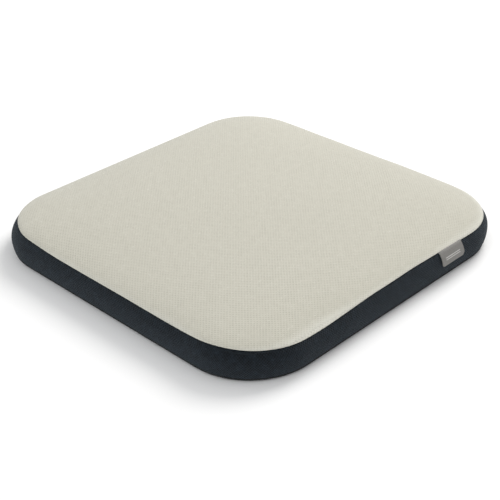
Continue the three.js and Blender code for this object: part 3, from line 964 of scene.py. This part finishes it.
def stripSection(side):
    # from the seam allowance, down the face to the zip, round the fold and back up inside
    seam = bandTop if side > 0 else bandBottom
    edge = zipMiddle + side * (stripLow.z - zipMiddle)
    fold = strip["foldDepth"]
    tip = bulge(seam)
    section = [(tip + share * (hemTip - tip), seam) for share in turnInShares[::-1]]
    section += bandFace(seam, edge + side * 0.9 * mm, strip["rows"])
    section += [(bulge(edge) + fold * share, edge + side * lift * mm)
                for share, lift in ((0.1, 0.3), (0.35, 0.03), (0.65, 0.03), (0.9, 0.3))]
    section += bandFace(edge + side * 0.9 * mm, seam - side * strip["hemTop"], strip["rows"], fold)
    return section if side > 0 else section[::-1]


def makeStrip(name, side, cadName):
    piece = sweepAlong(name, stripSection(side), stripLow.x, stripHigh.x, strip["spacing"])
    # the open sheet faces the way its outer wall looks
    outward = sum(p.normal.y for p in piece.data.polygons if p.center.y > half - 2 * mm)
    if outward < 0:
        piece.data.flip_normals()
    mapRound(piece, cover, lambda co: co.z)
    thickened(piece, strip["thickness"])
    shadeSmooth(piece, 50)
    finishPiece(piece, "cushion", bandMesh, [cadName])


def makeStitch(name, place, along, thick):
    # one sunken stitch, a rounded sliver of thread; along is its length
    objectMode()
    bpy.ops.mesh.primitive_uv_sphere_add(
        segments=8, ring_count=6, radius=thick / 2, location=place, rotation=(0, math.pi / 2, 0))
    piece = bpy.context.active_object
    piece.name = name
    piece.scale = (0.8, 1, along / thick)
    bpy.ops.object.transform_apply(location=True, rotation=True, scale=True)
    return piece


def makeTopstitch():
    rows = []
    count = int((stripHigh.x - stripLow.x - 8 * mm) / strip["stitchPitch"])
    first = -strip["stitchPitch"] * (count - 1) / 2
    for side in (1, -1):
        z = zipMiddle + side * (stripLow.z - zipMiddle + strip["stitchFromEdge"])
        stitch = makeStitch("stitch", (first, half - bulge(z) + 0.05 * mm, z), strip["stitchLength"],
                            strip["stitchThick"])
        rows.append(repeated(stitch, [(count, (strip["stitchPitch"], 0, 0))]))
    for x in (stripLow.x, stripHigh.x):
        # a close bar of stitches where the zip ends
        low = zipMiddle - (barTack["count"] - 1) / 2 * barTack["pitch"]
        place = (x + math.copysign(barTack["aside"], x), half - 0.05 * mm, low)
        tack = makeStitch("tack", place, barTack["length"], barTack["thick"])
        rows.append(repeated(tack, [(barTack["count"], (0, 0, barTack["pitch"]))]))
    piece = joined(rows, "zipTopstitch")
    shadeSmooth(piece, 60)
    finishPiece(piece, "cushion", darkThread)


stageNote("rear strips")
makeStrip("rearStripUpper", 1, "rear_strip_upper")
makeStrip("rearStripLower", -1, "rear_strip_lower")
makeTopstitch()


# zip
zipTape = {"bead": 0.5 * mm, "grow": 1.6 * mm, "spacing": 3 * mm, "end": 117.7 * mm}
tooth = {
    "pitch": 3 * mm, "wide": 1.2 * mm, "deep": 2.2 * mm, "reach": 1.3 * mm, "root": 1.9 * mm, "bar": 1.2 * mm,
    "neck": 0.72, "neckShare": 0.62, "flare": 0.5 * mm, "edge": 0.12 * mm, "barWiden": 1.25,
    "skipped": 1, "count": 67, "start": teethLow.x,
}


def blendHalf(piece):
    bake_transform(piece)


def makeTape(name, side, isLeft, cadName):
    # a woven tape with a round corded edge that carries the teeth
    inner, outer = half - tapeHigh.y, half - tapeLow.y
    middle = (inner + outer) / 2
    near = zipMiddle + side * (tooth["root"] + tooth["bar"] + 0.3 * mm - zipTape["grow"])
    far = zipMiddle + side * (tapeHigh.z - zipMiddle)
    bead = zipTape["bead"]
    cord = [(middle + bead * math.cos(a), near + side * bead * (1 - math.sin(a)))
            for a in (math.radians(d) for d in range(-30, 211, 40))]
    section = [(outer, far), *cord, (inner, far)]
    fromX, toX = (-zipTape["end"], 0.0) if isLeft else (0.0, zipTape["end"])
    piece = sweepAlong(name, section, fromX, toX, zipTape["spacing"], closedSection=True)
    shadeSmooth(piece, 50)
    finishPiece(piece, None, tapeWeave, [cadName])
    blendHalf(piece)


def makeTooth(name, x, side):
    # a bar that grips the tape, a neck, and a head that hooks past the teeth opposite
    y = (teethLow.y + teethHigh.y) / 2
    bar = tooth["bar"]
    objectMode()
    bpy.ops.mesh.primitive_cube_add(size=1, location=(x, y, zipMiddle + side * (tooth["root"] + bar / 2)))
    piece = bpy.context.active_object
    piece.name = name
    piece.scale = (tooth["wide"] * tooth["barWiden"], tooth["deep"], bar)
    bpy.ops.object.transform_apply(location=True, rotation=False, scale=True)
    level = zipMiddle + side * tooth["root"]
    pick(piece, "FACE", lambda face: abs(face.center.z - level) < 1e-6 and abs(face.normal.z) > 0.9)
    neckLength = tooth["root"] * tooth["neckShare"]
    flare = tooth["flare"]
    head = tooth["reach"] + tooth["root"] - neckLength - flare
    for drop, widen in ((0, tooth["neck"]), (neckLength, 1), (flare, 1 / tooth["neck"]), (head, 0.92)):
        drawOut((0, 0, -side * drop))
        level -= side * drop
        bpy.ops.transform.resize(value=(widen, 1 if drop else 0.9, 1), center_override=(x, y, level))
    applyModifier(piece, "edges", "BEVEL", width=tooth["edge"], segments=1, limit_method="ANGLE")
    return piece


def makeTeeth(name, side, isLeft, cadName):
    # the first place is left free for the slider, which stops there when the zip is open
    before = math.ceil(-tooth["start"] / tooth["pitch"])
    first = tooth["skipped"] if isLeft else before
    count = before - first if isLeft else tooth["count"] - before
    shift = 0 if side > 0 else tooth["pitch"] / 2
    x = tooth["start"] + shift + (first + 0.25) * tooth["pitch"] + tooth["wide"] / 2
    piece = repeated(makeTooth(name, x, side), [(count, (tooth["pitch"], 0, 0))])
    shadeSmooth(piece, 40)
    finishPiece(piece, None, nylon, [cadName])
    blendHalf(piece)


def makeEndPatch(name, fromX, toX, reach):
    # a woven patch that closes the tapes past the last tooth
    inset = half - tapeHigh.y - 0.75 * mm
    section = [(inset, zipMiddle + share * reach) for share in (-1, -0.5, 0, 0.5, 1)]
    piece = sweepAlong(name, section, fromX, toX, 2 * mm)
    if piece.data.polygons[0].normal.y < 0:
        piece.data.flip_normals()
    thickened(piece, 0.5 * mm)
    shadeSmooth(piece, 50)
    finishPiece(piece, "cushion", tapeWeave)


stageNote("zip")
makeEndPatch("zipEndPatchLeft", -zipTape["end"], -104.9 * mm, 4.6 * mm)
makeEndPatch("zipEndTongue", -104.9 * mm, -100.3 * mm, 3.0 * mm)
makeEndPatch("zipEndPatchRight", 113.2 * mm, zipTape["end"], 4.6 * mm)
for side, label in ((1, "upper"), (-1, "lower")):
    for isLeft in (True, False):
        end = "Left" if isLeft else "Right"
        makeTape(f"{label}Tape{end}", side, isLeft, f"zip_tape_{label}")
        makeTeeth(f"{label}Teeth{end}", side, isLeft, f"zip_teeth_{label}")


def softenedCopy(cadName, name, width, material, body):
    # the CAD part's shape with its hard edges rounded
    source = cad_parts[cadName]
    objectMode()
    piece = bpy.data.objects.new(name, source.data.copy())
    bpy.context.scene.collection.objects.link(piece)
    makeActive(piece)
    bpy.ops.object.mode_set(mode="EDIT")
    mergeDoubles(1e-6)
    bpy.ops.mesh.dissolve_limited(angle_limit=math.radians(1))
    applyModifier(piece, "edges", "BEVEL", width=width, segments=3, limit_method="ANGLE",
                  angle_limit=math.radians(35))
    shadeSmooth(piece, 35)
    finishPiece(piece, body, material, [cadName])


softenedCopy("zip_slider", "zipSlider", 0.18 * mm, gunmetal, "slider")
softenedCopy("zip_pull", "zipPull", 0.25 * mm, gunmetal, "pull")
for cadName, name in (("zip_top_stop_upper", "topStopUpper"), ("zip_top_stop_lower", "topStopLower"),
                      ("zip_bottom_stop", "bottomStop")):
    softenedCopy(cadName, name, 0.25 * mm, gunmetal, "cushion")


# base and its grip
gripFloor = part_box("grip_layer")[0].z
base = {
    "spacing": 8 * mm, "cornerSteps": 14, "thickness": 0.8 * mm, "floor": 0.8 * mm, "gathers": 0.18 * mm,
    # inset and rise from the middle out to the edge, up it and in again as the turned-in edge (mm)
    "profile": [(70, 0), (55, 0), (40, 0), (25, 0), (14, 0), (9, 0), (6, 0.02), (4.3, 0.15), (3.0, 0.6),
                (2.4, 1.3), (2.3, 2.0), (2.5, 2.45), (3.3, 2.6), (9, 2.6), (16.6, 2.6)],
}
grip = {
    "pitch": 9 * mm, "topRadius": 2.9 * mm, "lowRadius": 2.4 * mm, "sides": 10, "margin": 17 * mm,
    "round": 0.35 * mm,
}


def insetOf(x, y):
    # how far inside the cover's outline a point lies
    dx, dy = abs(x) - (half - cornerRadius), abs(y) - (half - cornerRadius)
    if dx > 0 and dy > 0:
        return cornerRadius - math.hypot(dx, dy)
    return cornerRadius - max(dx, dy)


def makeBase():
    floor = base["floor"]
    section = [(inset * mm, floor + rise * mm) for inset, rise in base["profile"]]
    piece = sweepOutline("baseCover", cover, section, base["spacing"], base["cornerSteps"])
    fillMiddle(piece, cover, floor, base["spacing"])
    faceOutwards(piece)
    moveVertices(piece, settle)
    subdivided(piece, 1)
    aboveFloor = floor + 1.5 * mm
    moveVertices(piece, lambda co: pucker(co, bandBottom, 5, base["gathers"]) if co.z > aboveFloor else co)
    mapFlat(piece, lambda co: 1.2 * max(0, co.z - floor))
    thickened(piece, base["thickness"])
    shadeSmooth(piece, 50)
    finishPiece(piece, "cushion", baseWeave, ["base_panel"])


def makeGrip():
    # rows of low silicone studs printed on the base, every other row half a pitch along
    depth = base["floor"] - gripFloor + 0.35 * mm
    rowStep = grip["pitch"] * math.sqrt(3) / 2
    across = int((half - grip["margin"]) / grip["pitch"])
    down = int((half - grip["margin"]) / rowStep / 2) * 2
    sets = []
    for odd in (0, 1):
        objectMode()
        origin = Vector((-across * grip["pitch"] + odd * grip["pitch"] / 2, -down * rowStep + odd * rowStep,
                         gripFloor + depth / 2))
        bpy.ops.mesh.primitive_cone_add(vertices=grip["sides"], radius1=grip["lowRadius"],
                                        radius2=grip["topRadius"], depth=depth - grip["round"],
                                        location=origin + Vector((0, 0, grip["round"] / 2)))
        stud = bpy.context.active_object
        bpy.ops.object.transform_apply(location=True, rotation=False, scale=False)
        pick(stud, "FACE", lambda face: face.normal.z < -0.9)
        drawOut((0, 0, -grip["round"]))
        bpy.ops.transform.resize(value=(0.8, 0.8, 1), center_override=origin)
        pick(stud, "FACE", lambda face: face.normal.z > 0.9)
        bpy.ops.mesh.delete(type="FACE")
        bpy.ops.object.mode_set(mode="OBJECT")
        repeated(stud, [(2 * across + 1 - odd, (grip["pitch"], 0, 0)), (down + 1 - odd, (0, 2 * rowStep, 0))])

        def outside(vertex):
            x = origin.x + round((vertex.co.x - origin.x) / grip["pitch"]) * grip["pitch"]
            y = origin.y + round((vertex.co.y - origin.y) / (2 * rowStep)) * 2 * rowStep
            return insetOf(x, y) < grip["margin"]

        pick(stud, "VERT", outside)
        bpy.ops.mesh.delete(type="VERT")
        sets.append(stud)
    piece = joined(sets, "gripStuds")
    shadeSmooth(piece, 60)
    finishPiece(piece, "cushion", silicone, ["grip_layer"])


stageNote("base")
makeBase()
makeGrip()


# overlock stitching on the seams' raw edges
overlock = {
    "spacing": 2.6 * mm, "cornerSteps": 40, "lip": 1.5 * mm, "thickness": 0.45 * mm, "ripple": 0.16 * mm,
}


def makeOverlock(name, cadName):
    low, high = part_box(cadName)
    bottom, top = low.z + overlock["thickness"], high.z - overlock["thickness"]
    inside = hemTip + 0.35 * mm
    section = [(hemTip - overlock["lip"], bottom), (hemTip - overlock["lip"] / 2, bottom), (inside, bottom),
               (inside, (bottom + top) / 2), (inside, top), (hemTip - overlock["lip"] / 2, top),
               (hemTip - overlock["lip"], top)]
    piece = sweepOutline(name, cover, section, overlock["spacing"], overlock["cornerSteps"])
    faceOutwards(piece)

    def ripple(co):
        # the thread lies in loops, every other station a little proud
        place = outlinePlace(cover, co.x, co.y)
        return co + Vector((0, 0, overlock["ripple"] * math.sin(place / overlock["spacing"] * math.pi)))

    moveVertices(piece, ripple)
    moveVertices(piece, settle)
    thickened(piece, overlock["thickness"])
    shadeSmooth(piece, 60)
    finishPiece(piece, "cushion", overlockThread, [cadName])


stageNote("overlock")
makeOverlock("topSeamOverlock", "top_seam_overlock")
makeOverlock("baseSeamOverlock", "base_seam_overlock")


# liner and foam
coreInset = half - linerHigh.x
coreLine = {"side": linerHigh.x, "front": linerLow.y, "rear": linerHigh.y, "radius": cornerRadius - coreInset}
core = {
    "spacing": 8 * mm, "cornerSteps": 14, "drop": 2.9 * mm, "rebate": 15.5 * mm, "crownStart": 7 * mm,
    "rows": 6, "lean": 1.2 * mm, "between": 40 * mm, "linerThickness": 0.6 * mm,
    "foamSkin": 1.1 * mm, "highShelf": 27.3 * mm, "lowShelf": 8.0 * mm,
    "floor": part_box("liner_bottom")[0].z, "joint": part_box("comfort_foam")[0].z, "ease": 0.15 * mm,
}


def crownSection(skin):
    # from the middle of the crown out and down to the rebate that leaves room for the seam
    drop = core["drop"] + skin
    plateau = topSeam + crownRise - drop
    edge = coreInset + core["rebate"] + core["crownStart"]
    full = seamInset + shape["shoulder"]
    shares = [1, 0.85, 0.7, 0.55, 0.42, 0.3, 0.2, 0.1, 0]
    insets = [edge + (full - edge) * share for share in shares]
    section = [(coreLine["radius"], plateau)]
    section += [(inset - coreInset, topSeam + crown(inset) - drop) for inset in insets]
    shoulder = topSeam + crown(coreInset + core["rebate"]) - drop
    section += [(core["rebate"] + skin, shoulder), (core["rebate"] + skin, core["highShelf"] - skin)]
    return section, plateau, drop


def sweepCore(name, section, levels, drop):
    # levels are the flat middles to fill; drop is None for a piece with no crown
    piece = sweepOutline(name, coreLine, section, core["spacing"], core["cornerSteps"])
    for level in levels:
        fillMiddle(piece, coreLine, level, core["spacing"])
    faceOutwards(piece)
    if drop is not None:
        domed(piece, drop)
    moveVertices(piece, settle)
    return piece


def makeLiner(name, isTop, cadName):
    # a skin over the top or the bottom of the core, open at the joint between its halves
    rim = core["joint"] + (core["ease"] if isTop else -core["ease"])
    if isTop:
        section, level, drop = crownSection(0)
        section += bandFace(core["highShelf"], rim, core["rows"], curve=frameBulge)
    else:
        section = bandFace(rim, core["lowShelf"], core["rows"], curve=frameBulge)
        section += [(core["rebate"], core["lowShelf"]), (core["rebate"] + core["lean"], core["floor"]),
                    (core["between"], core["floor"]), (coreLine["radius"], core["floor"])]
        level = core["floor"]
    piece = sweepCore(name, section, [level], drop if isTop else None)
    mapRound(piece, coreLine, lambda co: co.z)
    thickened(piece, core["linerThickness"])
    shadeSmooth(piece, 40)
    finishPiece(piece, "cushion", linerWeave, [cadName])


def makeFoam(name, isTop, cadName, material):
    skin, joint = core["foamSkin"], core["joint"]
    if isTop:
        section, level, drop = crownSection(skin)
        section += bandFace(core["highShelf"] - skin, joint, core["rows"], skin, frameBulge)
        section += [(core["between"], joint), (coreLine["radius"], joint)]
    else:
        level = core["floor"] + skin
        shelf, wall = core["lowShelf"] + skin, core["rebate"] + skin
        section = [(coreLine["radius"], joint), (core["between"], joint)]
        section += bandFace(joint, shelf, core["rows"], skin, frameBulge)
        section += [(wall, shelf), (wall + core["lean"], level), (core["between"], level),
                    (coreLine["radius"], level)]
    piece = sweepCore(name, section, [level, joint], drop if isTop else None)
    shadeSmooth(piece, 40)
    finishPiece(piece, "cushion", material, [cadName])


stageNote("liner and foam")
makeLiner("linerTop", True, "liner_top")
makeLiner("linerBottom", False, "liner_bottom")
makeFoam("comfortFoam", True, "comfort_foam", softFoam)
makeFoam("supportFoam", False, "support_foam", firmFoam)


# labels
labelLow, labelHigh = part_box("side_label")
sideTab = {
    "leaf": 0.34 * mm, "outer": 1.25 * mm, "inner": 0.42 * mm, "rows": 9, "skew": 0.05, "aside": 3 * mm,
    "round": 2.6 * mm, "wave": 0.25 * mm, "shorter": 1.8 * mm,
}


def makeSideLabel():
    # a ribbon folded double, its ends sewn into the seam and its fold hanging over the band
    low, high = labelLow.z + sideTab["shorter"], labelHigh.z
    outer = bandFace(high, low + 0.5 * mm, sideTab["rows"], -sideTab["outer"])
    inner = bandFace(low + 0.5 * mm, high, sideTab["rows"], -sideTab["inner"])
    fold = [(bulge(low) - sideTab["outer"] * 0.93, low + 0.15 * mm),
            (bulge(low) - (sideTab["outer"] + sideTab["inner"]) / 2, low + 0.02 * mm),
            (bulge(low) - sideTab["inner"] * 1.15, low + 0.15 * mm)]
    section = [(seamInset + 5 * mm, bandTop + 0.2 * mm), (seamInset + 0.2 * mm, bandTop + 0.15 * mm),
               *outer, *fold, *inner]
    piece = sweepAlong("sideLabel", section, labelLow.x, labelHigh.x, 1.4 * mm, side=-1)
    outward = sum(p.normal.y for p in piece.data.polygons if p.center.y < labelLow.y + 0.3 * mm)
    if outward > 0:
        piece.data.flip_normals()
    middle = (labelLow.x + labelHigh.x) / 2
    mapCloth(piece, lambda co: (co.x - middle, co.z - low))

    def drape(co):
        # rounds the lower corners, sets the tab a little askew, and curls its free edge
        fromEdge = min(co.x - labelLow.x, labelHigh.x - co.x)
        rounding = max(0, 1 - fromEdge / sideTab["round"]) ** 2 * sideTab["round"]
        hang = (high - co.z) / (high - low)
        lift = rounding * max(0, hang - 0.5) * 2
        curl = sideTab["wave"] * math.sin((co.x - labelLow.x) / (labelHigh.x - labelLow.x) * 4.2 + 0.6)
        skewed = co.x + sideTab["skew"] * max(0, high - co.z) + sideTab["aside"]
        return Vector((skewed, co.y - abs(curl) * max(0, hang) ** 2, co.z + lift))

    moveVertices(piece, drape)
    thickened(piece, sideTab["leaf"])
    shadeSmooth(piece, 50)
    finishPiece(piece, None, labelWeave, ["side_label"])
    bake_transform(piece)


def makeCareLabel():
    low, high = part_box("care_label")
    objectMode()
    bpy.ops.mesh.primitive_plane_add(size=1, location=((low.x + high.x) / 2, 0, (low.z + high.z) / 2))
    piece = bpy.context.active_object
    piece.name = "careLabel"
    piece.scale = (high.x - low.x, high.y - low.y, 1)
    bpy.ops.object.transform_apply(location=True, rotation=False, scale=True)
    bpy.ops.object.mode_set(mode="EDIT")
    bpy.ops.mesh.subdivide(number_cuts=15)
    bpy.ops.object.mode_set(mode="OBJECT")
    moveVertices(piece, lambda co: co + Vector((0, 0, 0.12 * mm * math.sin(co.x / (9 * mm)))))
    mapFlat(piece, lambda co: 0)
    thickened(piece, 0.22 * mm)
    shadeSmooth(piece, 50)
    finishPiece(piece, "cushion", satinWeave, ["care_label"])


stageNote("labels")
makeSideLabel()
makeCareLabel()
